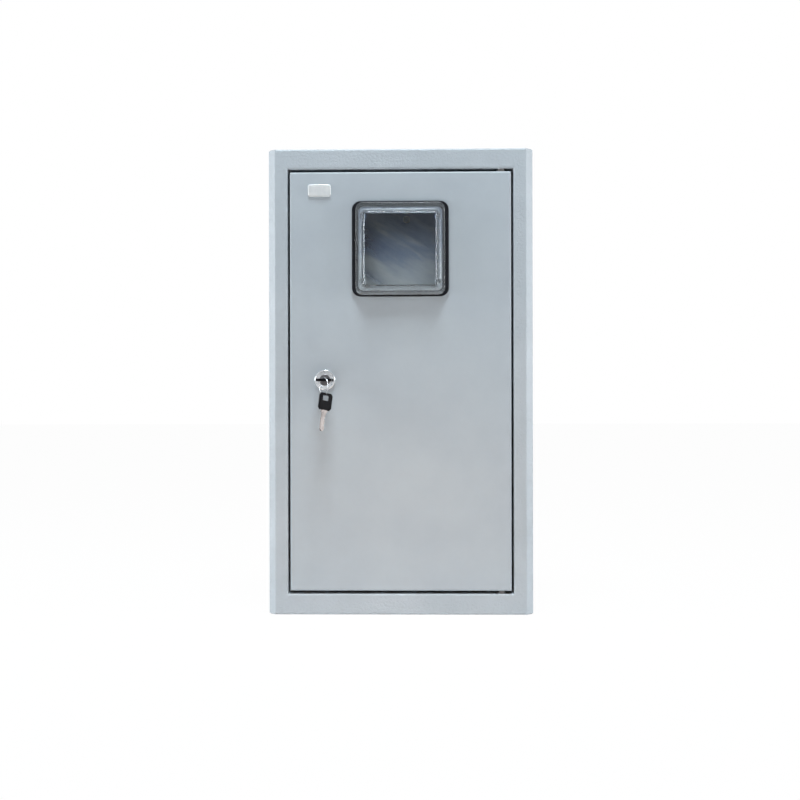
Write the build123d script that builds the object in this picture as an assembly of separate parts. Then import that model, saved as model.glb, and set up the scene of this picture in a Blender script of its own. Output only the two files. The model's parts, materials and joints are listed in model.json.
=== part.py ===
from build123d import *

import os
from math import atan2, cos, degrees, radians, sin, tan

# A wall-mounted metering enclosure of folded sheet steel, in millimetres.
# The origin is the centre of the four wall holes, on the outside of the back.
# X runs to the right as seen from the front, Z is up and the front faces -Y.

# Housing
width = 310.0
height = 545.0
depth = 165.0
sheet = 1.2
bend = 2.4  # outside radius of a fold in the housing's sheet
edge_slope = 8.0  # legs of the 45 degree faces along the front's left and right edges
side_trim = 1.0  # the sides end this much short of the top and bottom faces
lid_flange = 14.0  # depth of the fold along the front's top and bottom edges
seam = 0.4  # gap between butted sheets before they are welded
back_flange = 15.0
back_relief = 0.6  # corner relief beyond the fold
rim_lap = 6.0  # flat sheet beside the opening's fold that is shaped with it
lid_lap = 9.6  # the same above and below the front's top and bottom folds

# Front opening
stile = 23.0
top_rail = 23.5
bottom_rail = 24.5
return_depth = 20.0

# Wall holes and cable knock-outs
wall_hole_radius = 3.5
wall_hole_pitch_x = 250.0
wall_hole_pitch_z = 490.0
knockout_radius = 14.0
knockout_slot = 0.9
knockout_bridge = 3.0
bottom_knockouts = 4
top_knockouts = 2
knockout_pitch = 52.0
knockout_from_back = 62.0

# Door
door_gap_side = 2.5
door_gap_end = 3.5
door_depth = 15.0
door_bend = 2.0

# Hinge pivots
pivot_inset = 11.5  # from the door's hinged edge
pivot_setback = 6.5  # behind the door's face
pivot_radius = 2.5
pivot_clearance = 0.05
pivot_collar_radius = 4.6
pivot_collar_height = 2.6
pivot_reach = 7.0  # into the door past its return
rivet_radius = 4.2
rivet_height = 1.6
pivot_chamfer = 0.8
washer_clearance = 0.05

# Window
window_down = 90.2  # centre below the door's top edge
cutout_width = 98.0
cutout_height = 98.0
cutout_corner = 6.0
seal_margin_x = 7.5  # beyond the cut-out's edge
seal_margin_z = 6.7
seal_corner = 10.0
seal_thickness = 3.0
seal_edge = 1.0
cover_margin_x = 3.2  # beyond the cut-out's edge
cover_margin_z = 4.8
cover_corner = 8.0
cover_flange = 2.5
cover_edge = 0.6
crown_inset_x = 2.0  # inside the cut-out's edge
crown_inset_z = 1.6
crown_drop = 1.2  # below the cut-out's middle
crown_corner = 6.0
crown_rise = 8.0
crown_slope = 28.0  # degrees from straight out
crown_wall = 2.2
crown_inner_edge = 0.8
post_radius = 2.6
post_rise = 2.7  # past the cover's flange
post_inset_x = 4.5  # inside the cut-out's edge
post_inset_z = 11.0
window_frame_margin = 7.0  # beyond the cut-out's edge
window_frame_inset_x = 4.5  # inside it
window_frame_inset_z = 3.5
window_frame_thickness = 1.5
window_tab_radius = 4.8
window_screw_radius = 1.4
window_screw_head_radius = 2.9
window_screw_head = 2.0
window_screw_short = 1.2  # between the screw's tip and the end of its pilot hole

# Cam lock
lock_from_edge = 41.0  # from the door's free edge
lock_up = 1.5  # above the door's middle
lock_flange_radius = 12.0
lock_flange = 2.0
barrel_radius = 9.0
barrel_flat = 8.0  # from the axis to each flat
barrel_clearance = 0.1
plug_radius = 6.5
plug_clearance = 0.05
plug_proud = 0.6
lock_nut_flats = 22.0
lock_nut_height = 3.5
cam_thickness = 2.0
cam_reach = 47.0
cam_hub_radius = 8.5
cam_tip_radius = 6.0
cam_clearance = 0.5  # between the cam and the frame's return
square_tail = 7.0
cam_washer_radius = 5.0
cam_washer = 0.8
cam_screw_radius = 2.0
cam_screw_flats = 7.0
cam_screw_head = 2.8
cam_screw_length = 3.0

# Keys
head_width = 18.0
head_height = 20.0
head_thickness = 3.0
head_corner = 2.5
head_edge = 0.9
head_web = 2.8  # between the key's hole and the end of its head
eye_width = 10.0
eye_height = 6.2
eye_corner = 1.3
shoulder_width = 8.5
shoulder_height = 2.4
blade_width = 5.5
blade_tip_width = 3.2
blade_length = 22.0
blade_thickness = 2.0
tang_length = 9.0
key_slot_clearance = 0.15
key_slot_extra = 0.6  # the keyway runs on past the blade's tip
key_gap = 1.0  # between the lock's face and the key's shoulder
bitting = (0.9, 1.6, 0.7, 1.3)
key_density = 8.4  # grams per cubic centimetre
head_density = 1.2

# Key ring
ring_radius = 10.5
ring_wire = 0.6
ring_gap = 0.6
ring_turn = 32.0  # degrees about the vertical, from edge-on
ring_shift = 1.0  # outwards from the middle of the key's web
spare_gap = 0.3
spare_offset = -3.4  # the ring sits to the left in the spare key's eye
spare_turn = 42.0  # degrees about the vertical

# Badge
badge_from_edge = 34.8
badge_down = 21.6
badge_width = 27.0
badge_height = 14.5
badge_corner = 3.0
badge_thickness = 2.0
badge_dome = 1.5

# Mounting plate
plate_width = 230.0
plate_height = 440.0
plate_up = 8.0
plate_thickness = 1.5
plate_bend = 2.8
plate_return = 10.0
plate_from_back = 26.0  # from the outside of the back to the plate's rear face
meter_hole_radius = 3.75
meter_hole_x = 5.0
meter_hole_z = 208.8
meter_slot_x = 60.0
meter_slot_z = 70.0
meter_slot_length = 60.0
meter_slot_width = 6.5
standoff_x = 100.0
standoff_z = 200.0
standoff_flats = 10.0
plate_screw_radius = 3.0
plate_screw_head_radius = 5.0
plate_screw_head = 3.3
plate_screw_length = 12.0
plate_washer_radius = 6.4
plate_washer = 1.2
hole_clearance = 0.3
recess_span = 1.2  # of a cross recess, in head radii
recess_width = 0.28  # in head radii
recess_depth = 0.35  # in head heights

# Mounting rail
rail_length = 216.0
rail_width = 35.0
rail_height = 7.5
rail_web = 27.0
rail_sheet = 1.0
rail_bend = 1.4
rail_z = -95.0
rail_slot_length = 15.0
rail_slot_width = 6.2
rail_slot_pitch = 25.0
rail_screw_slot = 3  # counted from the middle slot
rail_screw_radius = 2.5
rail_screw_head_radius = 4.6
rail_screw_head = 2.6
rail_nut_flats = 8.0
rail_nut_height = 4.0

# Terminal bars
bar_length = 88.0
bar_thickness = 9.0
bar_height = 7.0
bar_edge = 0.6
bar_x = 56.0
bar_z = -165.0
terminals = 7
terminal_pitch = 9.0
terminal_screw_radius = 2.4
terminal_screw_head = 3.2
terminal_screw_depth = 2.5  # into the bar
terminal_slot_width = 0.8
terminal_slot_depth = 1.0
wire_hole_radius = 2.2
foot_width = 11.0
foot_height = 14.0
foot_base_height = 29.0
foot_base = 3.0
foot_rise = 18.0
foot_edge = 1.4
foot_hole_drop = 15.0  # from the bar down to the hole in the foot's base
foot_screw_radius = 1.9
foot_screw_head_radius = 3.4
foot_screw_head = 2.2
foot_screw_length = 16.0

# Earth studs
stud_radius = 3.0
stud_length = 20.0
stud_weld_radius = 4.0
stud_weld = 1.0
earth_x = 100.0
earth_up = 32.5  # above the bottom of the housing
door_earth_inset = 30.0
earth_nut_flats = 10.0
earth_nut_height = 5.0
earth_washer_radius = 6.2
earth_washer = 1.2

# Places that follow from the sizes above
half_width = width / 2
half_height = height / 2
inner_half_width = half_width - sheet
y_front = -depth
wrap_height = height - 2 * side_trim

open_half = half_width - stile
open_top = half_height - top_rail
open_bottom = bottom_rail - half_height
y_return = y_front + return_depth

door_half = open_half - door_gap_side
door_top = open_top - door_gap_end
door_bottom = open_bottom + door_gap_end
door_z = (door_top + door_bottom) / 2
y_door_back = y_front + sheet

pivot_x = door_half - pivot_inset
pivot_y = y_front + pivot_setback

window_z = door_top - window_down
crown_z = window_z - crown_drop
seal_width = cutout_width + 2 * seal_margin_x
seal_height = cutout_height + 2 * seal_margin_z
cover_width = cutout_width + 2 * cover_margin_x
cover_height = cutout_height + 2 * cover_margin_z
crown_width = cutout_width - 2 * crown_inset_x
crown_height = cutout_height - 2 * crown_inset_z
window_frame_width = cutout_width + 2 * window_frame_margin
window_frame_height = cutout_height + 2 * window_frame_margin
window_frame_open_width = cutout_width - 2 * window_frame_inset_x
window_frame_open_height = cutout_height - 2 * window_frame_inset_z
post_x = cutout_width / 2 - post_inset_x
post_z = cutout_height / 2 - post_inset_z
y_seal = y_front - seal_thickness
y_cover = y_seal - cover_flange
y_crown = y_cover - crown_rise

lock_x = lock_from_edge - door_half
lock_z = door_z + lock_up
y_lock_face = y_front - lock_flange
y_plug_face = y_lock_face - plug_proud
y_cam = y_return + cam_clearance
y_cam_back = y_cam + cam_thickness

y_shoulder = y_plug_face - key_gap
y_head = y_shoulder - shoulder_height
y_web = y_head - head_height + head_web / 2

y_plate_back = -plate_from_back
y_plate = y_plate_back - plate_thickness
rail_screw_x = rail_screw_slot * rail_slot_pitch
y_bar_back = y_plate - foot_rise
y_bar = y_bar_back - bar_thickness


# Shared shapes
def block(x, y, z):
    """A box between the given lowest and highest x, y and z."""
    middle = Pos((x[0] + x[1]) / 2, (y[0] + y[1]) / 2, (z[0] + z[1]) / 2)
    return middle * Box(x[1] - x[0], y[1] - y[0], z[1] - z[0])


def pressed(sketch, y_near, y_far, x=0.0, z=0.0, taper=0.0):
    """A sketch seen from the front, x right and z up, made solid from y_far out to y_near."""
    base = Plane(origin=(x, y_far, z), x_dir=(1, 0, 0), z_dir=(0, -1, 0))
    return extrude(base * sketch, amount=y_far - y_near, taper=taper)


def rod(radius, y_near, y_far, x=0.0, z=0.0):
    """A round bar along Y."""
    return pressed(Circle(radius), y_near, y_far, x, z)


def hexagon(flats, y_near, y_far, x=0.0, z=0.0):
    """A hexagonal bar along Y, given across its flats."""
    return pressed(RegularPolygon(flats / 2, 6, major_radius=False), y_near, y_far, x, z)


def folded(points, radius, thickness, side, plane, start, length):
    """A strip of sheet that follows the points with rounded folds, made solid along the plane's normal."""
    path = FilletPolyline(*points, radius=radius)
    section = make_face(path.offset_2d(thickness, side=side, closed=True))
    return plane.offset(start) * extrude(section, amount=length)


def cylinder_z(radius, low, high, x, y):
    """A round bar along Z."""
    return Pos(x, y, (low + high) / 2) * Cylinder(radius, high - low)


def pan_head(radius, height_of_head, y_under):
    """A rounded screw head with a cross recess, seated on the plane at y_under."""
    y_top = y_under - height_of_head
    head = rod(radius, y_top, y_under)
    head = fillet(head.faces().sort_by(Axis.Y)[0].edges(), height_of_head / 2)
    arm = Rectangle(recess_span * radius, recess_width * radius)
    return head - pressed(arm + Rot(0, 0, 90) * arm, y_top, y_top + recess_depth * height_of_head)


def at_corners(shape, x, z):
    """Copies of a shape at the four corners of a rectangle seen from the front."""
    return [Pos(i * x, 0, k * z) * shape for i in (-1, 1) for k in (-1, 1)]


def edges_at(part, y):
    """The edges of a part that lie in the plane at y."""
    return part.edges().filter_by(lambda edge: abs(edge.center().Y - y) < sheet / 100)


# Housing
def opening_rim():
    """The folded edge around the front opening, mitred at its corners."""
    path = Polyline(
        (0, y_front, open_top),
        (open_half, y_front, open_top),
        (open_half, y_front, open_bottom),
        (-open_half, y_front, open_bottom),
        (-open_half, y_front, open_top),
        (0, y_front, open_top),
    )
    fold = FilletPolyline((y_front, rim_lap), (y_front, 0), (y_return, 0), radius=bend)
    section = make_face(fold.offset_2d(sheet, side=Side.LEFT, closed=True))
    start = Plane(origin=(0, 0, open_top), x_dir=(0, 1, 0), z_dir=(1, 0, 0))
    return sweep(start * section, path=path, transition=Transition.RIGHT)


def front_shell():
    """The frame around the door, its sloping edges and both sides, folded from one sheet."""
    slope_y = y_front + edge_slope
    slope_x = half_width - edge_slope
    path = [
        (-half_width, 0),
        (-half_width, slope_y),
        (-slope_x, y_front),
        (slope_x, y_front),
        (half_width, slope_y),
        (half_width, 0),
    ]
    shell = folded(path, bend, sheet, Side.LEFT, Plane.XY, -wrap_height / 2, wrap_height)

    lid_half = slope_x - bend / 2
    y_lid = y_front + lid_flange
    lid_path = [(y_front, half_height - lid_lap), (y_front, half_height), (y_lid, half_height)]
    lid = folded(lid_path, bend, sheet, Side.RIGHT, Plane.YZ, -lid_half, 2 * lid_half)
    corner = block((-lid_half, lid_half), (y_front, y_lid), (half_height - bend, half_height))
    shell = shell - corner - mirror(corner, about=Plane.XY)
    shell = shell + lid + mirror(lid, about=Plane.XY)

    cut_half = open_half + rim_lap
    hole = block((-cut_half, cut_half), (y_front, y_door_back), (open_bottom - rim_lap, open_top + rim_lap))
    shell = shell - hole + opening_rim()
    return shell - cylinder_z(pivot_radius, open_bottom - sheet, open_top + sheet, pivot_x, pivot_y)


def knockout(x, y, z_low, z_high):
    """The slots around one knock-out, with the bridges that hold its disc left standing."""
    disc = Circle(knockout_radius) - Circle(knockout_radius - knockout_slot)
    bridge = Rectangle(2 * knockout_radius + knockout_slot, knockout_bridge)
    return Pos(x, y, z_low) * extrude(disc - bridge, amount=z_high - z_low)


def back_shell():
    """The back, top and bottom, folded from one sheet that slides into the front shell."""
    y_tip = y_front + sheet
    path = [(y_tip, half_height), (0, half_height), (0, -half_height), (y_tip, -half_height)]
    flat_half = inner_half_width - bend - back_relief
    shell = folded(path, bend, sheet, Side.RIGHT, Plane.YZ, -flat_half, 2 * flat_half)
    y_wing = -bend - back_relief
    wing = block((-inner_half_width, inner_half_width), (y_tip, y_wing), (half_height - sheet, half_height))
    shell = shell + wing + mirror(wing, about=Plane.XY)

    slope_y = y_front + edge_slope
    slope_x = half_width - edge_slope
    slack = sheet * tan(radians(45 / 2))
    inside = FilletPolyline(
        (-inner_half_width, 0),
        (-inner_half_width, slope_y + slack),
        (-slope_x + slack, y_tip),
        (slope_x - slack, y_tip),
        (inner_half_width, slope_y + slack),
        (inner_half_width, 0),
        radius=bend - sheet,
    )
    plan = make_face(inside + Line(inside @ 1, inside @ 0))
    shell = shell & extrude(Plane.XY.offset(-half_height) * plan, amount=height)
    lid_half = slope_x - bend / 2 + seam
    notch_y = y_front + lid_flange + seam
    notch = block((-lid_half, lid_half), (y_front, notch_y), (half_height - bend, half_height))
    shell = shell - notch - mirror(notch, about=Plane.XY)

    flange_height = height - 2 * (bend + back_relief)
    flange_path = [(flat_half - sheet, 0), (inner_half_width, 0), (inner_half_width, -back_flange)]
    flange = folded(flange_path, bend, sheet, Side.RIGHT, Plane.XY, -flange_height / 2, flange_height)
    shell = shell + flange + mirror(flange, about=Plane.YZ)

    for hole in at_corners(rod(wall_hole_radius, -sheet, 0), wall_hole_pitch_x / 2, wall_hole_pitch_z / 2):
        shell = shell - hole
    for count, low in ((bottom_knockouts, -half_height), (top_knockouts, half_height - sheet)):
        for i in range(count):
            x = (i - (count - 1) / 2) * knockout_pitch
            shell = shell - knockout(x, -knockout_from_back, low, low + sheet)
    return shell


# Door
def door_panel():
    """A shallow pan of sheet with the window, the lock hole and the pivot holes."""
    y_rear = y_front + door_depth
    inner_half = door_half - sheet
    panel = block((-door_half, door_half), (y_front, y_rear), (door_bottom, door_top))
    inner_span = (door_bottom + sheet, door_top - sheet)
    panel = panel - block((-inner_half, inner_half), (y_door_back, y_rear), inner_span)
    panel = fillet(edges_at(panel, y_front), door_bend)
    panel = fillet(edges_at(panel, y_door_back), door_bend - sheet)

    cutout = RectangleRounded(cutout_width, cutout_height, cutout_corner)
    window = pressed(cutout, y_front, y_door_back, 0, window_z)
    lock_hole = pressed(barrel_outline(barrel_clearance), y_front, y_door_back, lock_x, lock_z)
    pivots = cylinder_z(pivot_radius + pivot_clearance, door_bottom, door_top, pivot_x, pivot_y)
    return panel - window - lock_hole - pivots


def hinge_pin(upwards):
    """A turned pivot riveted through the frame's return, with a collar that keeps the door's gap."""
    edge = open_top if upwards else open_bottom
    sign = 1 if upwards else -1
    door_edge = door_top if upwards else door_bottom

    def turned(radius, start, end):
        return cylinder_z(radius, min(start, end), max(start, end), pivot_x, pivot_y)

    journal = turned(pivot_radius, door_edge - sign * pivot_reach, edge + sign * sheet)
    collar = turned(pivot_collar_radius, edge, edge - sign * pivot_collar_height)
    rivet = turned(rivet_radius, edge + sign * sheet, edge + sign * (sheet + rivet_height))
    pin = journal + collar + rivet
    tip = pin.faces().sort_by(Axis.Z)[0 if upwards else -1]
    return chamfer(tip.edges(), pivot_chamfer)


def hinge_washers():
    """The two washers between the pins' collars and the door."""
    washers = []
    for sign, edge, door_edge in ((1, open_top, door_top), (-1, open_bottom, door_bottom)):
        near = door_edge + sign * washer_clearance
        far = edge - sign * pivot_collar_height
        ring = cylinder_z(pivot_collar_radius, min(near, far), max(near, far), pivot_x, pivot_y)
        washers.append(ring - cylinder_z(pivot_radius, min(near, far), max(near, far), pivot_x, pivot_y))
    return washers


# Window
def window_seal():
    """The rubber ring between the door and the clear cover."""
    outline = RectangleRounded(seal_width, seal_height, seal_corner)
    seal = pressed(outline, y_seal, y_front, 0, window_z)
    seal = fillet(edges_at(seal, y_seal), seal_edge)
    cutout = RectangleRounded(cutout_width, cutout_height, cutout_corner)
    return seal - pressed(cutout, y_seal, y_front, 0, window_z)


def window_cover():
    """The clear cover: a flange on the seal, a hollow crown with sloping walls and four screw posts."""
    outline = RectangleRounded(cover_width, cover_height, cover_corner)
    cover = pressed(outline, y_cover, y_seal, 0, window_z)
    crown = RectangleRounded(crown_width, crown_height, crown_corner)
    cover = cover + pressed(crown, y_crown, y_cover, 0, crown_z, taper=crown_slope)
    pane = cover.faces().sort_by(Axis.Y)[0]
    cover = fillet(pane.edges(), crown_wall / 2)
    cover = fillet(edges_at(cover, y_cover), cover_edge)

    lean = tan(radians(crown_slope))
    wall = crown_wall / cos(radians(crown_slope))
    drop = cover_flange * lean
    hollow_width = crown_width - 2 * wall + 2 * drop
    hollow_height = crown_height - 2 * wall + 2 * drop
    hollow = RectangleRounded(hollow_width, hollow_height, crown_corner)
    hollow = pressed(hollow, y_crown + crown_wall, y_seal, 0, crown_z, taper=crown_slope)
    cover = cover - fillet(edges_at(hollow, y_crown + crown_wall), crown_inner_edge)

    post = rod(post_radius, y_cover - post_rise, y_door_back)
    pilot = rod(window_screw_radius, y_cover, y_door_back)
    for x in (-post_x, post_x):
        for z in (window_z - post_z, window_z + post_z):
            cover = cover + Pos(x, 0, z) * post - Pos(x, 0, z) * pilot
    return cover


def window_frame():
    """The retaining frame behind the door, with a tab for each screw."""
    ring = RectangleRounded(window_frame_width, window_frame_height, seal_corner)
    ring = ring - RectangleRounded(window_frame_open_width, window_frame_open_height, crown_corner)
    for x in (-post_x, post_x):
        for z in (-post_z, post_z):
            tab = Pos(x, z) * Circle(window_tab_radius)
            ring = ring + tab - Pos(x, z) * Circle(window_screw_radius)
    return pressed(ring, y_door_back, y_door_back + window_frame_thickness, 0, window_z)


def window_screws():
    """Four screws that pull the cover against the door from behind."""
    y_frame = y_door_back + window_frame_thickness
    head = rod(window_screw_head_radius, y_frame, y_frame + window_screw_head)
    head = fillet(head.faces().sort_by(Axis.Y)[-1].edges(), window_screw_head / 2)
    screw = head + rod(window_screw_radius, y_cover + window_screw_short, y_frame)
    return [Pos(0, 0, window_z) * one for one in at_corners(screw, post_x, post_z)]


# Lock
def barrel_outline(clearance=0.0):
    """The barrel's section: a round with two flats that stop it turning in the door."""
    radius = barrel_radius + clearance
    return Circle(radius) & Rectangle(2 * radius, 2 * (barrel_flat + clearance))


def lock_body():
    """The barrel with its round flange."""
    flange = rod(lock_flange_radius, y_lock_face, y_front, lock_x, lock_z)
    flange = fillet(flange.faces().sort_by(Axis.Y)[0].edges(), lock_flange / 2)
    barrel = pressed(barrel_outline(), y_front, y_cam, lock_x, lock_z)
    return flange + barrel - rod(plug_radius + plug_clearance, y_lock_face, y_cam, lock_x, lock_z)


def lock_nut():
    """The nut that clamps the lock to the door."""
    y_nut = y_door_back + lock_nut_height
    nut = hexagon(lock_nut_flats, y_door_back, y_nut, lock_x, lock_z)
    return nut - pressed(barrel_outline(), y_door_back, y_nut, lock_x, lock_z)


def lock_plug():
    """The turning plug with its keyway and the square tail for the cam."""
    plug = rod(plug_radius, y_plug_face, y_cam, lock_x, lock_z)
    plug = chamfer(plug.faces().sort_by(Axis.Y)[0].edges(), plug_proud / 2)
    plug = plug + pressed(Rectangle(square_tail, square_tail), y_cam, y_cam_back, lock_x, lock_z)
    slot = Rectangle(blade_width + 2 * key_slot_clearance, blade_thickness + 2 * key_slot_clearance)
    slot_end = y_shoulder + blade_length + key_slot_extra
    plug = plug - pressed(slot, y_plug_face, slot_end, lock_x, lock_z)
    return plug - rod(cam_screw_radius, y_cam_back - cam_screw_length, y_cam_back, lock_x, lock_z)


def lock_cam():
    """The flat cam, pointing down while the door is unlocked."""
    tip_z = cam_tip_radius - cam_reach
    hub = Circle(cam_hub_radius)
    tip = Pos(0, tip_z) * Circle(cam_tip_radius)
    arm = make_hull(hub.edges() + tip.edges()) - Rectangle(square_tail, square_tail)
    return pressed(arm, y_cam, y_cam_back, lock_x, lock_z)


def cam_washer_ring():
    """The washer under the cam screw's head."""
    y_far = y_cam_back + cam_washer
    ring = Circle(cam_washer_radius) - Circle(cam_screw_radius)
    return pressed(ring, y_cam_back, y_far, lock_x, lock_z)


def cam_screw():
    """The hexagon screw in the plug's tail."""
    y_under = y_cam_back + cam_washer
    head = hexagon(cam_screw_flats, y_under, y_under + cam_screw_head, lock_x, lock_z)
    return head + rod(cam_screw_radius, y_cam_back - cam_screw_length, y_under, lock_x, lock_z)


# Keys, drawn upright: the shoulder's underside is at z = 0 and the blade points down
def key_blade():
    """The metal key: shoulder, blade with its cuts, and the tang inside the head."""
    half = blade_width / 2
    tip = blade_tip_width / 2
    outline = Polyline(
        (-half, 0),
        (-half, -blade_length + half),
        (-tip / 2, -blade_length),
        (tip / 2, -blade_length),
        (half, -blade_length + half),
        (half, 0),
        close=True,
    )
    profile = make_face(outline)
    pitch = (blade_length - blade_width) / (len(bitting) + 1)
    for i, deep in enumerate(bitting):
        z = -(i + 1) * pitch - blade_width / 4
        cut = Polyline(
            (half, z + deep + pitch / 4),
            (half - deep, z + pitch / 6),
            (half - deep, z - pitch / 6),
            (half, z - deep - pitch / 4),
            close=True,
        )
        profile = profile - make_face(cut)
    shoulder = Pos(0, shoulder_height / 2) * Rectangle(shoulder_width, shoulder_height)
    tang = Pos(0, shoulder_height + tang_length / 2) * Rectangle(blade_width, tang_length)
    return pressed(profile + shoulder + tang, -blade_thickness / 2, blade_thickness / 2)


def key_head():
    """The moulded head with its chamfered corners and the eye for the ring."""
    middle = shoulder_height + head_height / 2
    outline = Pos(0, middle) * Rectangle(head_width, head_height)
    outline = chamfer(outline.vertices(), head_corner)
    head = pressed(outline, -head_thickness / 2, head_thickness / 2)
    rims = head.faces().filter_by(Axis.Y).edges()
    head = fillet(rims, head_edge)
    eye_z = shoulder_height + head_height - head_web - eye_height / 2
    eye = RectangleRounded(eye_width, eye_height, eye_corner)
    head = head - pressed(eye, -head_thickness, head_thickness, 0, eye_z)
    tang = Pos(0, shoulder_height + tang_length / 2) * Rectangle(blade_width, tang_length)
    return head - pressed(tang, -blade_thickness / 2, blade_thickness / 2)


# The ring passes round the outer end of the key in the lock
ring_out = Vector(sin(radians(ring_turn)), -cos(radians(ring_turn)), 0)
ring_axis = Vector(cos(radians(ring_turn)), sin(radians(ring_turn)), 0)
ring_top = lock_z + head_thickness / 2 + ring_gap + ring_wire
ring_centre = Vector(lock_x, y_web, ring_top - ring_radius) + ring_out * ring_shift
ring_bottom = ring_centre - Vector(0, 0, ring_radius)

key_place = Pos(lock_x, y_shoulder, lock_z) * Rot(90, 0, 0)


def key_ring():
    """A ring of wire, hanging turned away from edge-on."""
    plane = Plane(origin=ring_centre, z_dir=ring_axis)
    return plane * Torus(ring_radius, ring_wire)


def spare_key_place():
    """The place of the spare key: its mass hangs below the ring, so it leans a little."""
    blade = key_blade()
    head = key_head()
    blade_mass = blade.volume * key_density
    head_mass = head.volume * head_density
    middle = (blade.center() * blade_mass + head.center() * head_mass) / (blade_mass + head_mass)
    grip_z = shoulder_height + head_height - head_web - spare_gap - ring_wire
    lean = degrees(atan2(middle.X - spare_offset, grip_z - middle.Z))
    hang = Rot(0, lean, 0) * Pos(-spare_offset, 0, -grip_z)
    return Pos(*ring_bottom) * Rot(0, 0, spare_turn) * hang


# Badge
def badge():
    """The bare badge: a domed plate with rounded corners."""
    outline = RectangleRounded(badge_width, badge_height, badge_corner)
    plate = pressed(outline, y_front - badge_thickness, y_front)
    plate = fillet(plate.faces().sort_by(Axis.Y)[0].edges(), badge_dome)
    return Pos(badge_from_edge - door_half, 0, door_top - badge_down) * plate


# Inside
def mounting_plate():
    """The plate that carries the meter, the rail and the bars, with its long edges folded back."""
    half = plate_width / 2
    y_fold = y_plate + plate_return
    path = [(-half, y_fold), (-half, y_plate), (half, y_plate), (half, y_fold)]
    low = plate_up - plate_height / 2
    plate = folded(path, plate_bend, plate_thickness, Side.LEFT, Plane.XY, low, plate_height)
    plate = plate - rod(meter_hole_radius, y_plate, y_plate_back, meter_hole_x, meter_hole_z)
    slot = Rot(0, 0, 90) * SlotOverall(meter_slot_length, meter_slot_width)
    for x in (-meter_slot_x, meter_slot_x):
        plate = plate - pressed(slot, y_plate, y_plate_back, x, meter_slot_z)
    screw_hole = rod(plate_screw_radius + hole_clearance, y_plate, y_plate_back)
    for hole in at_corners(screw_hole, standoff_x, standoff_z):
        plate = plate - hole
    for x in (-rail_screw_x, rail_screw_x):
        plate = plate - rod(rail_screw_radius + hole_clearance, y_plate, y_plate_back, x, rail_z)
    for x, z in foot_places():
        plate = plate - rod(foot_screw_radius, y_plate, y_plate_back, x, z - foot_hole_drop)
    return plate


def plate_standoffs():
    """Four threaded pillars welded to the back."""
    pillar = hexagon(standoff_flats, y_plate_back, -sheet)
    thread = rod(plate_screw_radius, y_plate_back, y_plate_back + plate_screw_length)
    return at_corners(pillar - thread, standoff_x, standoff_z)


def plate_washers():
    """The washers under the plate's screws."""
    ring = Circle(plate_washer_radius) - Circle(plate_screw_radius)
    washer = pressed(ring, y_plate - plate_washer, y_plate)
    return at_corners(washer, standoff_x, standoff_z)


def plate_screws():
    """The four screws of the mounting plate."""
    y_under = y_plate - plate_washer
    screw = pan_head(plate_screw_head_radius, plate_screw_head, y_under)
    screw = screw + rod(plate_screw_radius, y_under, y_plate_back + plate_screw_length - hole_clearance)
    return at_corners(screw, standoff_x, standoff_z)


def din_rail():
    """A top-hat rail with slots along its web."""
    y_lip = y_plate - rail_height + rail_sheet
    half = rail_width / 2
    web = rail_web / 2
    path = [(y_lip, half), (y_lip, web), (y_plate, web), (y_plate, -web), (y_lip, -web), (y_lip, -half)]
    rail = folded(path, rail_bend, rail_sheet, Side.RIGHT, Plane.YZ, -rail_length / 2, rail_length)
    rail = Pos(0, 0, rail_z) * rail
    slot = pressed(SlotOverall(rail_slot_length, rail_slot_width), y_plate - rail_sheet, y_plate, 0, rail_z)
    on_each_side = int((rail_length - rail_slot_length) / 2 / rail_slot_pitch)
    for i in range(-on_each_side, on_each_side + 1):
        rail = rail - Pos(i * rail_slot_pitch, 0, 0) * slot
    return rail


def rail_screws():
    """The two screws of the rail."""
    y_under = y_plate - rail_sheet
    screw = pan_head(rail_screw_head_radius, rail_screw_head, y_under)
    screw = screw + rod(rail_screw_radius, y_under, y_plate_back + rail_nut_height)
    return [Pos(x, 0, rail_z) * screw for x in (-rail_screw_x, rail_screw_x)]


def rail_nuts():
    """The nuts behind the mounting plate."""
    y_far = y_plate_back + rail_nut_height
    nut = hexagon(rail_nut_flats, y_plate_back, y_far) - rod(rail_screw_radius, y_plate_back, y_far)
    return [Pos(x, 0, rail_z) * nut for x in (-rail_screw_x, rail_screw_x)]


def foot_offset():
    """From a bar's middle to each of its two feet."""
    return (bar_length - foot_width) / 2


def foot_places():
    """The middles of the four insulating feet."""
    offsets = (-foot_offset(), foot_offset())
    return [(side * bar_x + offset, bar_z) for side in (-1, 1) for offset in offsets]


def terminal_bar(side):
    """A brass bar with a wire hole and a screw hole for each terminal."""
    x = side * bar_x
    half = bar_length / 2
    y_bar_middle = (y_bar + y_bar_back) / 2
    bar = block((x - half, x + half), (y_bar, y_bar_back), (bar_z - bar_height / 2, bar_z + bar_height / 2))
    bar = chamfer(bar.edges().filter_by(Axis.X), bar_edge)
    for i in range(terminals):
        place = x + (i - (terminals - 1) / 2) * terminal_pitch
        wire = cylinder_z(wire_hole_radius, bar_z - bar_height, bar_z + bar_height, place, y_bar_middle)
        bar = bar - wire - rod(terminal_screw_radius, y_bar, y_bar + terminal_screw_depth, place, bar_z)
    for offset in (-foot_offset(), foot_offset()):
        bar = bar - rod(foot_screw_radius + hole_clearance, y_bar, y_bar_back, x + offset, bar_z)
    return bar


def terminal_screws(side):
    """The slotted screws of one bar."""
    y_head = y_bar - terminal_screw_head
    screw = rod(terminal_screw_radius, y_head, y_bar + terminal_screw_depth)
    slot = Rectangle(2 * terminal_screw_radius, terminal_slot_width)
    screw = screw - pressed(slot, y_head, y_head + terminal_slot_depth)
    middle = (terminals - 1) / 2
    return [Pos(side * bar_x + (i - middle) * terminal_pitch, 0, bar_z) * screw for i in range(terminals)]


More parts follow.
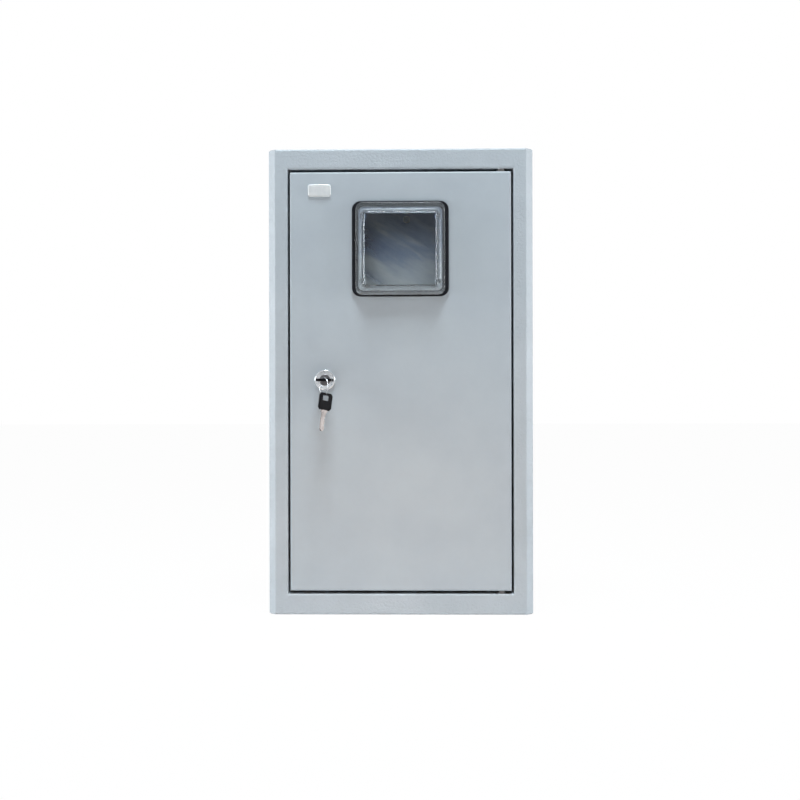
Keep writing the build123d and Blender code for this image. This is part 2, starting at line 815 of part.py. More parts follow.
def bar_feet(side):
    """The two insulating feet of one bar, each with a base that is screwed to the plate."""
    feet = []
    for x, z in foot_places():
        if x * side < 0:
            continue
        tower = pressed(Rectangle(foot_width, foot_height), y_bar_back, y_plate)
        base = Rectangle(foot_width, foot_base_height)
        base = pressed(base, y_plate - foot_base, y_plate, 0, (foot_height - foot_base_height) / 2)
        foot = fillet((tower + base).edges().filter_by(Axis.Y), foot_edge)
        foot = foot - rod(foot_screw_radius, y_bar_back, y_bar_back + foot_screw_length - bar_thickness)
        foot = foot - rod(foot_screw_radius, y_plate - foot_base, y_plate, 0, -foot_hole_drop)
        feet.append(Pos(x, 0, z) * foot)
    return feet


def bar_screws():
    """The screws that hold the bars on their feet."""
    screw = pan_head(foot_screw_head_radius, foot_screw_head, y_bar)
    screw = screw + rod(foot_screw_radius, y_bar, y_bar + foot_screw_length)
    return [Pos(x, 0, z) * screw for x, z in foot_places()]


def earth_stud(y_base):
    """A stud with its weld collar, standing into the enclosure from a sheet whose inside is at y_base."""
    direction = -1 if y_base > y_front / 2 else 1
    far = y_base + direction * stud_length
    collar_far = y_base + direction * stud_weld
    stud = rod(stud_radius, min(y_base, far), max(y_base, far))
    collar = rod(stud_weld_radius, min(y_base, collar_far), max(y_base, collar_far))
    return stud + collar


def earth_hardware(y_base):
    """A washer and a nut on a stud, as separate solids."""
    direction = -1 if y_base > y_front / 2 else 1
    places = [stud_weld, stud_weld + earth_washer, stud_weld + earth_washer + earth_nut_height]
    outlines = [
        (Circle(earth_washer_radius), places[0], places[1]),
        (RegularPolygon(earth_nut_flats / 2, 6, major_radius=False), places[1], places[2]),
    ]
    pieces = []
    for outline, near, far in outlines:
        start = y_base + direction * near
        end = y_base + direction * far
        pieces.append(pressed(outline - Circle(stud_radius), min(start, end), max(start, end)))
    return pieces


# Output
def save(name, *shapes):
    """Write one sub-part, as one solid or as a group of separate ones."""
    solids = [solid for shape in shapes for solid in shape.solids()]
    target = solids[0] if len(solids) == 1 else Compound(children=solids)
    target.label = name
    export_step(target, f"parts/{name}.step")


def main():
    os.makedirs("parts", exist_ok=True)
    housing_earth = Pos(earth_x, 0, earth_up - half_height)
    door_earth = Pos(door_half - door_earth_inset, 0, door_bottom + door_earth_inset)
    spare = spare_key_place()

    save("front_shell", front_shell())
    save("back_shell", back_shell())
    save("door_panel", door_panel())
    save("hinge_pin_top", hinge_pin(True))
    save("hinge_pin_bottom", hinge_pin(False))
    save("hinge_washers", *hinge_washers())
    save("window_seal", window_seal())
    save("window_cover", window_cover())
    save("window_frame", window_frame())
    save("window_screws", *window_screws())
    save("lock_body", lock_body())
    save("lock_nut", lock_nut())
    save("lock_plug", lock_plug())
    save("lock_cam", lock_cam())
    save("cam_washer", cam_washer_ring())
    save("cam_screw", cam_screw())
    save("key_blade", key_place * key_blade())
    save("key_head", key_place * key_head())
    save("key_ring", key_ring())
    save("spare_key_blade", spare * key_blade())
    save("spare_key_head", spare * key_head())
    save("badge", badge())
    save("mounting_plate", mounting_plate())
    save("plate_standoffs", *plate_standoffs())
    save("plate_washers", *plate_washers())
    save("plate_screws", *plate_screws())
    save("din_rail", din_rail())
    save("rail_screws", *rail_screws())
    save("rail_nuts", *rail_nuts())
    save("neutral_bar", terminal_bar(-1))
    save("earth_bar", terminal_bar(1))
    save("neutral_terminal_screws", *terminal_screws(-1))
    save("earth_terminal_screws", *terminal_screws(1))
    save("neutral_bar_feet", *bar_feet(-1))
    save("earth_bar_feet", *bar_feet(1))
    save("bar_screws", *bar_screws())
    save("housing_earth_stud", housing_earth * earth_stud(-sheet))
    save("housing_earth_nut", *[housing_earth * piece for piece in earth_hardware(-sheet)])
    save("door_earth_stud", door_earth * earth_stud(y_door_back))
    save("door_earth_nut", *[door_earth * piece for piece in earth_hardware(y_door_back)])

    print("hinge axis at", pivot_x, pivot_y)
    print("lock axis at", lock_x, lock_z, "plug face", y_plug_face)
    print("key travel", blade_length)
    print("ring centre", ring_centre, "bottom", ring_bottom)
    print("ring plane", ring_out, "axis", ring_axis)


main()
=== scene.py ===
# %% [markdown]
# # Dressing a wall-mounted metering enclosure
# The enclosure's shapes come from CAD, and this script gives them their finishes and their finest
# pieces. Every size is in metres. The origin is on the outside of the back, X runs to the right as
# seen from the front, Z is up and the front faces -Y, so a piece goes where the CAD says, unfitted.

import json
from math import cos, pi, radians, sin

import bmesh
import bpy
from mathutils import Matrix, Vector


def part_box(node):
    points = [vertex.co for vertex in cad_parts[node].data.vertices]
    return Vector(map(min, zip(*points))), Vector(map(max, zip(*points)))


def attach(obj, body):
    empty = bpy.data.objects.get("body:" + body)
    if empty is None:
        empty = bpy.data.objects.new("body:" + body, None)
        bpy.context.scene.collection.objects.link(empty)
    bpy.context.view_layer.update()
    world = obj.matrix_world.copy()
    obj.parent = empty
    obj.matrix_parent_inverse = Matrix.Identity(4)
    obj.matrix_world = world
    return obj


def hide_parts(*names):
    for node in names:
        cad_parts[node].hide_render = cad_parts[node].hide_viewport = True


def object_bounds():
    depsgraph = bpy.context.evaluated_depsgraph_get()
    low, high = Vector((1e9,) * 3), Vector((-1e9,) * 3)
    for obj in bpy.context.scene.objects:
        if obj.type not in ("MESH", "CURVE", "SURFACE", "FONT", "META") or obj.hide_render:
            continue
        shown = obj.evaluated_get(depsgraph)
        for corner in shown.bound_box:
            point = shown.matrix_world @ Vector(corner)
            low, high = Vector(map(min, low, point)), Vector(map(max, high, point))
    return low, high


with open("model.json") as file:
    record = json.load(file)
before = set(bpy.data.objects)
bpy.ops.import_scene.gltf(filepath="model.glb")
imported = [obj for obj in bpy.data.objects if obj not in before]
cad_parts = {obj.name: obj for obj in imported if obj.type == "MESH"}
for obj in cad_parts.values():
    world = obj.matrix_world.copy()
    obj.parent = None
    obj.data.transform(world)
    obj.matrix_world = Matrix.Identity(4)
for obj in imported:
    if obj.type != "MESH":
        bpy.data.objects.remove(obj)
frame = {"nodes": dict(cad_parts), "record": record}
cad_low, cad_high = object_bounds()
for plain in list(bpy.data.materials):
    bpy.data.materials.remove(plain)  # the frame comes in plain colours, under the finishes' own names
print("CAD box", [round(value, 4) for value in (*cad_low, *cad_high)])

# %% [markdown]
# ## The camera
# The photograph was taken from about a metre and a half, a little to the right of the door's middle
# and turned back towards it, so the right edge comes out a trace larger than the left. The place
# and the lens come from fitting the four outer corners, the opening and the window to the picture.

# %% Camera
camera_data = bpy.data.cameras.new("camera")
camera_data.sensor_width = 36.0
camera_data.lens = 57.75
camera = bpy.data.objects.new("camera", camera_data)
camera.location = (0.0322, -1.665, -0.0218)
camera.rotation_euler = (radians(90.015), radians(0.107), radians(1.257))
bpy.context.scene.collection.objects.link(camera)
bpy.context.scene.camera = camera
bpy.context.scene.view_settings.view_transform = "Standard"
print("camera", camera_data.lens, "mm lens")

# %% [markdown]
# ## White surroundings
# The enclosure was photographed for a catalogue on plain white. The camera, and whatever is mirrored
# or seen through the window, meets pure white, while the light that falls on the paint is softer, so
# that a pale colour renders about as it is written.

# %% World
world = bpy.data.worlds.new("studio")
bpy.context.scene.world = world
world.use_nodes = True
sky = world.node_tree
sky.nodes.clear()
sky_output = sky.nodes.new("ShaderNodeOutputWorld")
room_light = sky.nodes.new("ShaderNodeBackground")
room_light.inputs["Color"].default_value = (0.91, 0.96, 1.0, 1.0)
room_light.inputs["Strength"].default_value = 0.07
white_backdrop = sky.nodes.new("ShaderNodeBackground")
white_backdrop.inputs["Color"].default_value = (1.0, 1.0, 1.0, 1.0)
choice = sky.nodes.new("ShaderNodeMixShader")


def looked_at(tree):
    """One for what is looked at, straight, in a mirror or through the window, and nought for light."""
    path = tree.nodes.new("ShaderNodeLightPath")
    seen = path.outputs["Is Camera Ray"]
    for ray in ("Is Glossy Ray", "Is Transmission Ray"):
        either = tree.nodes.new("ShaderNodeMath")
        either.operation = "MAXIMUM"
        tree.links.new(seen, either.inputs[0])
        tree.links.new(path.outputs[ray], either.inputs[1])
        seen = either.outputs[0]
    return seen


sky.links.new(looked_at(sky), choice.inputs["Fac"])
sky.links.new(room_light.outputs[0], choice.inputs[1])
sky.links.new(white_backdrop.outputs[0], choice.inputs[2])
sky.links.new(choice.outputs[0], sky_output.inputs["Surface"])
print("world light", room_light.inputs["Strength"].default_value)

# %% [markdown]
# ## Lamps
# Folds that face up are the brightest lines in the photograph, and the sloping faces along the left
# and right edges are brighter than the front. So the light came mostly from above and from the sides,
# past the front. The lower half is a little brighter and warmer, as a pale floor or table makes it: a
# small warm card near the floor does that here. Strengths were tried one lamp at a time.

# %% Lamps
def soft_box(name, place, aim, size, watts, tint):
    """A square lamp that faces the point it is aimed at."""
    lamp = bpy.data.lights.new(name, "AREA")
    lamp.shape = "SQUARE"
    lamp.size = size
    lamp.energy = watts
    lamp.color = tint
    stand = bpy.data.objects.new(name, lamp)
    stand.location = place
    stand.rotation_euler = (Vector(aim) - Vector(place)).to_track_quat("-Z", "Y").to_euler()
    bpy.context.scene.collection.objects.link(stand)
    return stand


front_middle = (0, cad_low.y, 0)
cool, neutral, warm = (0.88, 0.96, 1.0), (0.98, 0.99, 1.0), (1.0, 0.52, 0.2)
soft_box("top_lamp", (0, -0.6, 1.7), (0, -0.1, 0.1), 0.5, 34.0, cool)
soft_box("left_lamp", (-1.6, -0.42, 0.25), front_middle, 0.6, 16.7, neutral)
soft_box("right_lamp", (1.6, -0.42, 0.25), front_middle, 0.6, 15.0, neutral)
floor_card = soft_box("floor_card", (0, -0.45, -0.24), (0, cad_low.y, -0.15), 0.4, 0.37, warm)
floor_card.visible_camera = False
print("4 lamps")

# %% [markdown]
# ## The dark card
# Behind the camera the real studio was dark: the window's pane mirrors black towards the lens, not
# white. A black card above the camera stands in for it. Only mirrored rays see it, so it throws no
# shadow.

# %% Dark card
def matt_paint(name, colour, roughness):
    """A paint for the studio that mirrors nothing."""
    paint = bpy.data.materials.new(name)
    paint.use_nodes = True
    shader = paint.node_tree.nodes["Principled BSDF"]
    shader.inputs["Base Color"].default_value = colour
    shader.inputs["Roughness"].default_value = roughness
    shader.inputs["Specular IOR Level"].default_value = 0.0
    return paint


def flat_sheet(name, half_size, middle, paint, tilt=0.0):
    """A flat square round its middle, level or tilted about X."""
    mesh = bpy.data.meshes.new(name)
    shape = bmesh.new()
    bmesh.ops.create_grid(shape, x_segments=1, y_segments=1, size=half_size)
    bmesh.ops.rotate(shape, cent=(0, 0, 0), matrix=Matrix.Rotation(tilt, 3, "X"), verts=shape.verts)
    bmesh.ops.translate(shape, vec=middle, verts=shape.verts)
    shape.to_mesh(mesh)
    shape.free()
    mesh.materials.append(paint)
    sheet = bpy.data.objects.new(name, mesh)
    bpy.context.scene.collection.objects.link(sheet)
    return sheet


dark_paint = matt_paint("dark_card", (0.01, 0.01, 0.012, 1.0), 1.0)
card_half, card_middle = 0.24, (-0.03, -1.75, 0.29)
dark_card = flat_sheet("dark_card", card_half, card_middle, dark_paint, tilt=pi / 2)
dark_card.visible_camera = False
dark_card.visible_diffuse = False
dark_card.visible_transmission = False
dark_card.visible_shadow = False
print("dark card behind the camera, half a side", card_half)

# %% [markdown]
# ## The floor
# A pale floor under the enclosure catches its shadow. Wherever it is looked at, most of its brightness
# is plain white, so that it runs into the backdrop, and the rest is the light that reaches it, which
# leaves the shadow.

# %% Floor
floor_half = 12.0
floor_whiteness = 0.98  # the share that is plain white where the floor is looked at
floor_paint = matt_paint("floor_white", (0.86, 0.87, 0.88, 1.0), 0.9)
floor = flat_sheet("floor", floor_half, (0, 0, cad_low.z), floor_paint)
floor_nodes = floor_paint.node_tree.nodes
floor_links = floor_paint.node_tree.links
floor_glow = floor_nodes.new("ShaderNodeEmission")
floor_share = floor_nodes.new("ShaderNodeMath")
floor_share.operation = "MULTIPLY"
floor_share.inputs[1].default_value = floor_whiteness
floor_mix = floor_nodes.new("ShaderNodeMixShader")
floor_links.new(looked_at(floor_paint.node_tree), floor_share.inputs[0])
floor_links.new(floor_share.outputs[0], floor_mix.inputs["Fac"])
floor_links.new(floor_nodes["Principled BSDF"].outputs[0], floor_mix.inputs[1])
floor_links.new(floor_glow.outputs[0], floor_mix.inputs[2])
floor_links.new(floor_mix.outputs[0], floor_nodes["Material Output"].inputs["Surface"])
print("floor at", round(cad_low.z, 4))

# %% [markdown]
# ## A finish to start from
# Every finish here is one shader with a few patterns on it. It could be built by hand in the node
# editor, and these helpers keep each finish down to the lines that say what is special about it.
# Colours are written as they are read off a screen and turned linear, as a shader wants them.

# %% First helpers
def tone(red, green, blue):
    """A colour as read off a screen, 0 to 255, turned into the linear values that a shader takes."""
    linear = [(value / 255 / 12.92) if value <= 10 else ((value / 255 + 0.055) / 1.055) ** 2.4
              for value in (red, green, blue)]
    return (*linear, 1.0)


def new_finish(name, colour, roughness, metallic=0.0):
    """A material whose shader starts from one colour and one roughness."""
    finish = bpy.data.materials.new(name)
    finish.use_nodes = True
    shader = finish.node_tree.nodes["Principled BSDF"]
    shader.inputs["Base Color"].default_value = colour
    shader.inputs["Roughness"].default_value = roughness
    shader.inputs["Metallic"].default_value = metallic
    finish.diffuse_color = colour
    return finish


def shader_of(finish):
    return finish.node_tree.nodes["Principled BSDF"]


print("first helpers ready")

# %% [markdown]
# ## Patterns
# Nothing real has one even tone, so patterns shift the colour, the gloss and the relief. A picture
# could be wrapped round the part instead, but noise needs no unwrapping and never shows pixels. It
# reads Object coordinates, which are metres here, so its scale is one over the size of its grains.

# %% Pattern helpers
def noise(finish, grain, detail=2.0, stretch=(1.0, 1.0, 1.0), turn=0.0, roughness=0.5):
    """Noise with grains that many metres across, drawn out by its stretch and turned about Y."""
    nodes, links = finish.node_tree.nodes, finish.node_tree.links
    place = nodes.new("ShaderNodeTexCoord")
    mapping = nodes.new("ShaderNodeMapping")
    mapping.vector_type = "TEXTURE"
    mapping.inputs["Scale"].default_value = stretch
    mapping.inputs["Rotation"].default_value = (0.0, turn, 0.0)
    pattern = nodes.new("ShaderNodeTexNoise")
    pattern.inputs["Scale"].default_value = 1 / grain
    pattern.inputs["Detail"].default_value = detail
    pattern.inputs["Roughness"].default_value = roughness
    links.new(place.outputs["Object"], mapping.inputs["Vector"])
    links.new(mapping.outputs["Vector"], pattern.inputs["Vector"])
    return pattern.outputs["Fac"]


def graded(finish, pattern, stops):
    """A pattern's values turned into colours, with stops of (place, colour)."""
    ramp = finish.node_tree.nodes.new("ShaderNodeValToRGB")
    elements = ramp.color_ramp.elements
    while len(elements) < len(stops):
        elements.new(0.5)
    for element, (place, colour) in zip(elements, stops):
        element.position = place
        element.color = colour
    finish.node_tree.links.new(pattern, ramp.inputs["Fac"])
    return ramp.outputs["Color"]


def ranged(finish, pattern, low, high, start=0.3, end=0.7):
    """A pattern's values from start to end spread over low to high."""
    spread = finish.node_tree.nodes.new("ShaderNodeMapRange")
    for socket, value in zip(("From Min", "From Max", "To Min", "To Max"), (start, end, low, high)):
        spread.inputs[socket].default_value = value
    finish.node_tree.links.new(pattern, spread.inputs["Value"])
    return spread.outputs["Result"]


def along(finish, axis):
    """The place along one axis, X, Y or Z, in metres."""
    place = finish.node_tree.nodes.new("ShaderNodeTexCoord")
    parts = finish.node_tree.nodes.new("ShaderNodeSeparateXYZ")
    finish.node_tree.links.new(place.outputs["Object"], parts.inputs["Vector"])
    return parts.outputs[axis]


def reckon(finish, operation, first, second):
    """Two values, sockets or plain numbers, put through one sum."""
    step = finish.node_tree.nodes.new("ShaderNodeMath")
    step.operation = operation
    for socket, value in zip(step.inputs, (first, second)):
        if isinstance(value, float):
            socket.default_value = value
        else:
            finish.node_tree.links.new(value, socket)
    return step.outputs[0]


print("pattern helpers ready")

# %% [markdown]
# ## From patterns to the shader
# A pattern does nothing until it drives an input of the shader: the colour, the roughness or, as a
# height, the direction that the surface seems to face. Such relief costs no geometry, which suits
# a grain of a fraction of a millimetre.

# %% Shader helpers
def colour_from(finish, socket):
    finish.node_tree.links.new(socket, shader_of(finish).inputs["Base Color"])


def roughness_from(finish, socket):
    finish.node_tree.links.new(socket, shader_of(finish).inputs["Roughness"])


def bump(finish, pattern, height, strength=1.0, over=None):
    """Relief of that height in metres, on top of an earlier relief if one is given."""
    relief = finish.node_tree.nodes.new("ShaderNodeBump")
    relief.inputs["Distance"].default_value = height
    relief.inputs["Strength"].default_value = strength
    finish.node_tree.links.new(pattern, relief.inputs["Height"])
    if over is not None:
        finish.node_tree.links.new(over, relief.inputs["Normal"])
    finish.node_tree.links.new(relief.outputs["Normal"], shader_of(finish).inputs["Normal"])
    return relief.outputs["Normal"]


print("shader helpers ready")

# %% [markdown]
# ## Paint
# The housing wears a structured powder coat: a light blue-grey with a fine pebbled skin that
# scatters highlights. The door wears the same colour with a smoother, satin skin. The grain is relief
# from noise, and a slow noise shifts the tone by a few percent, as on real sheet under a coat.

# %% Paints
def powder_coat(name, dark, light, grain, relief, gloss):
    """A powder coat: slow shifts of tone, a pebbled relief and a roughness that varies with it."""
    coat = new_finish(name, light, gloss)
    shader_of(coat).inputs["Specular IOR Level"].default_value = 0.35
    cloud_size, wave_size, wave_height, gloss_spread = 0.07, 0.012, 0.00008, 0.06
    pebbles = noise(coat, grain, detail=3.0, roughness=0.6)
    clouds = noise(coat, cloud_size, detail=5.0, roughness=0.62)
    colour_from(coat, graded(coat, clouds, [(0.32, dark), (0.68, light)]))
    roughness_from(coat, ranged(coat, pebbles, gloss - gloss_spread, gloss + gloss_spread))
    slow = bump(coat, noise(coat, wave_size, detail=1.0), wave_height, strength=0.3)
    bump(coat, pebbles, relief, strength=0.7, over=slow)
    return coat


frame_paint = powder_coat("frame_paint", tone(176, 185, 192), tone(185, 193, 200),
                          grain=0.003, relief=0.0012, gloss=0.4)
door_paint = powder_coat("door_paint", tone(175, 184, 192), tone(181, 190, 197),
                         grain=0.0024, relief=0.00006, gloss=0.38)
print("paints", frame_paint.name, door_paint.name)

# %% [markdown]
# ## Galvanised sheet
# The mounting plate, the rail and the window's retaining frame are galvanised sheet: not quite
# flat, with cloudy crystals and long rolling marks that catch the light in streaks. Seen through the
# window, the plate goes from dark and bluish at the top to a paler warm grey. That is painted shade:
# the box's top shades the plate, and the place along Z, disturbed by noise and crystals, picks the
# colour.

# %% Galvanised sheet
# painted shade: the colour runs from lit to shaded between these two heights
painted_shade_low, painted_shade_high = 0.125, 0.205  # metres above the frame's origin
stray, crystal_stray = 0.3, 0.04  # how far noise and crystals shift the painted shade, as a share of it
crystal_size = 0.006
galvanised = new_finish("galvanised_steel", tone(150, 156, 162), 0.36, metallic=0.9)
streaks = noise(galvanised, 0.016, detail=4.0, stretch=(1.0, 1.0, 6.0), turn=radians(-58),
                roughness=0.55)
wander = noise(galvanised, 0.05, detail=2.0, stretch=(1.0, 1.0, 2.5), turn=radians(-70))
# painted shade, darker towards the top, where the box's top shades the plate
shade_and_tone = ranged(galvanised, along(galvanised, "Z"), 0.0, 1.0, painted_shade_low, painted_shade_high)
shade_and_tone = reckon(galvanised, "ADD", shade_and_tone, ranged(galvanised, wander, -stray, stray))
shade_and_tone = reckon(galvanised, "ADD", shade_and_tone, ranged(galvanised, streaks, stray, -stray))
crystals = galvanised.node_tree.nodes.new("ShaderNodeTexVoronoi")
crystals.inputs["Scale"].default_value = 1 / crystal_size
crystal_place = galvanised.node_tree.nodes.new("ShaderNodeTexCoord")
galvanised.node_tree.links.new(crystal_place.outputs["Object"], crystals.inputs["Vector"])
spots = ranged(galvanised, crystals.outputs["Color"], -crystal_stray, crystal_stray, 0.0, 1.0)
shade_and_tone = reckon(galvanised, "ADD", shade_and_tone, spots)
# painted shade: the stops run from a lit warm grey to a shaded dark blue-grey
colour_from(galvanised, graded(galvanised, shade_and_tone, [
    (0.0, tone(206, 202, 196)), (0.35, tone(178, 178, 178)), (0.65, tone(138, 144, 156)),
    (0.95, tone(110, 119, 140))]))
roughness_from(galvanised, ranged(galvanised, streaks, 0.26, 0.34))
bump(galvanised, streaks, 0.0012, 0.4)
print("galvanised sheet ready")

# %% [markdown]
# ## Plated and plain metal
# Screws, nuts and the cam are zinc plated, the lock is chromed, the bars are brass, the weld studs
# are copper plated and the hinge pins are plain greased steel. Handled metal is never even, so each
# of these varies in its gloss and a little in its tone, by one recipe with other numbers. The studs'
# thread is too fine to model, so it is relief: a sine along the stud.

# %% Plated parts
def plated(name, dark, light, grain, smooth, rough):
    """A plated metal: handling marks in its gloss and a faint change of tone."""
    metal = new_finish(name, light, smooth, metallic=1.0)
    marks = noise(metal, grain, detail=4.0, roughness=0.6)
    colour_from(metal, graded(metal, noise(metal, 6 * grain), [(0.3, dark), (0.7, light)]))
    roughness_from(metal, ranged(metal, marks, smooth, rough))
    bump(metal, marks, grain / 60, 0.3)
    return metal


def threaded(metal, pitch, depth):
    """Rings of thread along Y, as relief on the metal's round sides."""
    turns = reckon(metal, "MULTIPLY", along(metal, "Y"), 2 * pi / pitch)
    bump(metal, reckon(metal, "SINE", turns, 0.0), depth)


zinc = plated("zinc_steel", tone(166, 164, 152), tone(198, 199, 196), 0.0015, 0.25, 0.42)
dull_steel = plated("dull_steel", tone(84, 84, 86), tone(116, 116, 116), 0.0012, 0.42, 0.6)
copper = plated("copper_steel", tone(168, 112, 80), tone(205, 150, 116), 0.0015, 0.25, 0.45)
chrome = plated("chrome", tone(196, 200, 205), tone(222, 226, 230), 0.003, 0.05, 0.14)
# The plug's darker tone is partly its own satin finish and partly painted shade of its recess.
plug_steel = plated("plug_steel", tone(96, 97, 102), tone(122, 122, 126), 0.0012, 0.26, 0.4)
nickel = plated("key_steel", tone(88, 84, 83), tone(120, 115, 113), 0.002, 0.26, 0.42)
brass = plated("brass", tone(186, 152, 84), tone(214, 184, 112), 0.002, 0.24, 0.4)
threaded(copper, pitch=0.001, depth=0.0003)
print("7 plated finishes")

# %% [markdown]
# ## Plastics and rubber
# Moulded plastic has a very fine matt grain from the tool's surface, and the badge is a glossy dome.
# Noise as relief and in the roughness makes that grain. The rubber seal has a coarser, duller one.

# %% Plastics
def moulded(name, colour, lighter, roughness, grain=0.0006, relief=0.00002, shine=0.5):
    """A moulded plastic or rubber with a fine grain."""
    plastic = new_finish(name, colour, roughness)
    shader_of(plastic).inputs["Specular IOR Level"].default_value = shine
    skin = noise(plastic, grain, detail=3.0)
    clouds = noise(plastic, 0.008, detail=3.0)
    colour_from(plastic, graded(plastic, clouds, [(0.35, colour), (0.75, lighter)]))
    roughness_from(plastic, ranged(plastic, skin, roughness - 0.07, roughness + 0.07))
    bump(plastic, skin, relief, 0.5)
    return plastic


black_plastic = moulded("black_plastic", tone(11, 11, 15), tone(18, 18, 23), 0.38, shine=0.04)
blue_plastic = moulded("blue_plastic", tone(34, 74, 156), tone(46, 88, 170), 0.45)
green_plastic = moulded("green_plastic", tone(44, 118, 62), tone(56, 132, 74), 0.45)
white_plastic = moulded("white_plastic", tone(208, 212, 214), tone(222, 224, 225), 0.12,
                        relief=0.000004)
black_rubber = moulded("black_rubber", tone(15, 17, 22), tone(26, 28, 34), 0.6,
                       grain=0.0012, relief=0.00006, shine=0.12)
print("5 plastics")

# %% [markdown]
# ## The clear cover
# On the window's cover only the pane is clear: the flange and the sloping walls round it were frosted
# in the mould, so they scatter some light and look blue-grey where they lie on the black seal. One
# material can do both, as it knows the place: inside the pane's half sizes all light passes, and
# beyond them less does. The pane is rubbed in long faint streaks, as wiping leaves it.

# %% Clear plastic
pane_half_x, pane_half_z = 0.0434, 0.0436  # the clear pane
pane_drop = 0.0012  # from the cover's middle down to the pane's
frost_edge = 0.0008  # over which clear turns to frosted
frost_clearness, frost_roughness = 0.88, 0.2
haze, haze_from, haze_to = 0.24, 0.052, 0.046  # on the lower wall, by the distance under the middle
cover_low, cover_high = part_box("window_cover")
pane_middle = (cover_low.z + cover_high.z) / 2 - pane_drop
clear_plastic = new_finish("clear_plastic", tone(226, 236, 244), 0.03)
clear_shader = shader_of(clear_plastic)
clear_shader.inputs["IOR"].default_value = 1.49
beyond_x = reckon(clear_plastic, "ABSOLUTE", along(clear_plastic, "X"), 0.0)
beyond_x = reckon(clear_plastic, "SUBTRACT", beyond_x, pane_half_x)
beyond_z = reckon(clear_plastic, "SUBTRACT", along(clear_plastic, "Z"), pane_middle)
beyond_z = reckon(clear_plastic, "ABSOLUTE", beyond_z, 0.0)
beyond_z = reckon(clear_plastic, "SUBTRACT", beyond_z, pane_half_z)
beyond = reckon(clear_plastic, "MAXIMUM", beyond_x, beyond_z)
low_edge = ranged(clear_plastic, along(clear_plastic, "Z"), haze, 0.0,
                  pane_middle - haze_from, pane_middle - haze_to)
transmission = ranged(clear_plastic, beyond, 1.0, frost_clearness, 0.0, frost_edge)
transmission = reckon(clear_plastic, "SUBTRACT", transmission, low_edge)
clear_plastic.node_tree.links.new(transmission, clear_shader.inputs["Transmission Weight"])
rubbing = noise(clear_plastic, 0.02, detail=5.0, stretch=(1.0, 1.0, 4.0), turn=radians(-50))
rub = ranged(clear_plastic, rubbing, 0.0, 0.07, 0.45, 0.8)
frosting = ranged(clear_plastic, beyond, 0.0, frost_roughness, 0.0, frost_edge)
roughness_from(clear_plastic, reckon(clear_plastic, "ADD", rub, frosting))
bump(clear_plastic, noise(clear_plastic, 0.03), 0.00006, 0.15)
print("clear plastic ready")

# %% [markdown]
# ## Finishes on the CAD pieces
# The record names a slot for every CAD node, such as frame_paint, and each finish above carries the
# name of its slot. The nodes could be dressed one by one, but one loop over the record can't forget
# any of them.

# %% Dress the nodes
finishes = {finish.name: finish for finish in (
    frame_paint, door_paint, galvanised, zinc, dull_steel, copper, chrome, plug_steel, nickel, brass,
    black_plastic, blue_plastic, green_plastic, white_plastic, black_rubber, clear_plastic)}
slot_of = {part["node"]: part["material_slot"] for part in frame["record"]["subparts"]}
for node, piece in frame["nodes"].items():
    piece.data.materials.clear()
    piece.data.materials.append(finishes[slot_of[node]])
print(len(frame["nodes"]), "nodes dressed in", len(finishes), "finishes")

# %% [markdown]
# ## The split ring
# The CAD's ring is one plain wire. The real one is a flat spring wire wound twice round, with its two
# ends free, so it reads as a bright double line. A small ellipse, wider than it is thick, is spun two
# full turns while it moves along the axis, and the open ends are closed. It takes the place of the
# CAD's ring, keeps inside it, and rides the same body, so it swings with the keys.

# %% Split ring
def add_piece(name, shape, finish, body):
    """A finished mesh as a piece of the scene that moves with a body."""
    mesh = bpy.data.meshes.new(name)
    bmesh.ops.recalc_face_normals(shape, faces=shape.faces)
    for face in shape.faces:
        face.smooth = True
    shape.to_mesh(mesh)
    shape.free()
    mesh.materials.append(finish)
    piece = bpy.data.objects.new(name, mesh)
    bpy.context.scene.collection.objects.link(piece)
    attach(piece, body)
    print(name, len(mesh.polygons), "faces")
    return piece


def set_upright(shape, middle, start, axis):
    """Turn a shape made round Z so that its X runs along start and its Z along axis, and place it."""
    turned = Matrix((start, axis.cross(start), axis)).transposed().to_4x4()
    shape.transform(Matrix.Translation(middle) @ turned)


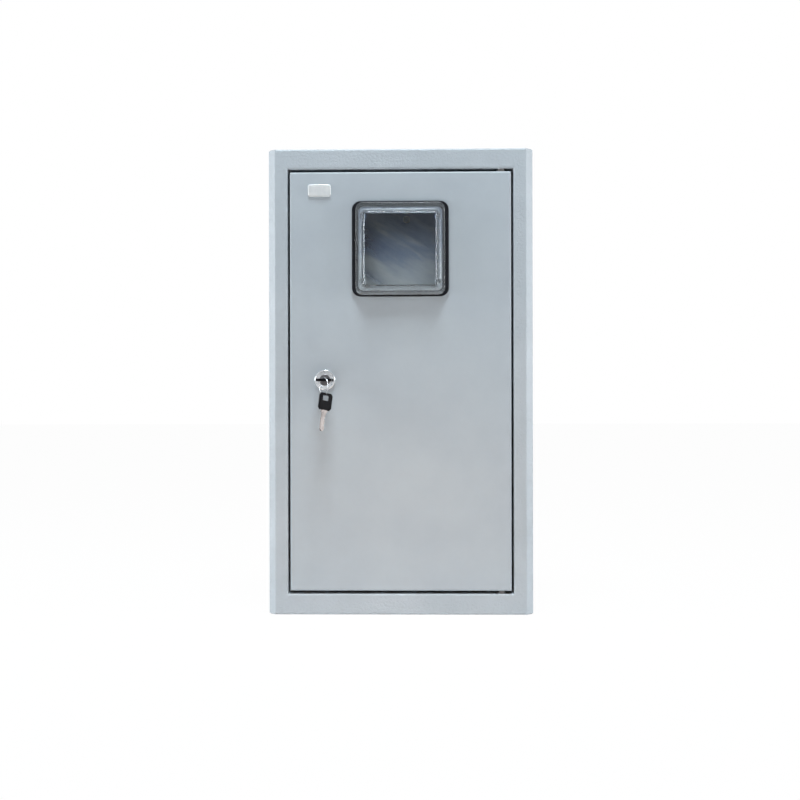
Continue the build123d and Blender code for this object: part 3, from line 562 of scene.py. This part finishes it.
ring_low, ring_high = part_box("key_ring")
ring_radius = 0.0105
ring_lean = radians(32)  # the ring's axis, turned from X towards Y
ring_turns, steps_a_turn, wire_sides = 2, 72, 12
coil_advance = 0.00042  # along the axis, a turn
wire_half_width, wire_half_thickness = 0.0004, 0.00018
ring_steps = ring_turns * steps_a_turn
coil = bmesh.new()
bmesh.ops.create_circle(coil, segments=wire_sides, radius=1.0)
bmesh.ops.scale(coil, vec=(wire_half_width, wire_half_thickness, 1.0), verts=coil.verts)
bmesh.ops.rotate(coil, cent=(0, 0, 0), matrix=Matrix.Rotation(pi / 2, 3, "X"), verts=coil.verts)
bmesh.ops.translate(coil, vec=(ring_radius, 0, -coil_advance * ring_turns / 2), verts=coil.verts)
bmesh.ops.spin(coil, geom=coil.verts[:] + coil.edges[:], cent=(0, 0, 0), axis=(0, 0, 1),
               dvec=(0, 0, coil_advance / steps_a_turn), angle=ring_turns * 2 * pi, steps=ring_steps,
               use_merge=False, use_duplicate=False)
bmesh.ops.holes_fill(coil, edges=coil.edges[:], sides=0)
ring_axis = Vector((cos(ring_lean), sin(ring_lean), 0))
wire_start = Vector((-sin(ring_lean), cos(ring_lean), 0))  # the free ends lie behind
set_upright(coil, (ring_low + ring_high) / 2, wire_start, ring_axis)
split_ring = add_piece("split_ring", coil, chrome, "ring")
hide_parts("key_ring")

# %% [markdown]
# ## The rim of the plate's hole
# The hole behind the window was punched from the front, which rounds its edge over, and that edge
# catches light as a bright crescent. A ring with a small round section, sunk half into the plate
# round the hole, is that rounded edge.

# %% Hole rim
plate_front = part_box("mounting_plate")[0].y
hole_x, hole_z, hole_radius = 0.005, 0.2088, 0.00375
rim_section, rim_sides, rim_steps = 0.0006, 12, 64
rim = bmesh.new()
bmesh.ops.create_circle(rim, segments=rim_sides, radius=rim_section)
bmesh.ops.rotate(rim, cent=(0, 0, 0), matrix=Matrix.Rotation(pi / 2, 3, "X"), verts=rim.verts)
bmesh.ops.translate(rim, vec=(hole_radius, 0, 0), verts=rim.verts)
bmesh.ops.spin(rim, geom=rim.verts[:] + rim.edges[:], cent=(0, 0, 0), axis=(0, 0, 1), dvec=(0, 0, 0),
               angle=2 * pi, steps=rim_steps, use_merge=True, use_duplicate=False)
set_upright(rim, Vector((hole_x, plate_front, hole_z)), Vector((1, 0, 0)), Vector((0, 1, 0)))
add_piece("meter_hole_rim", rim, zinc, "housing")
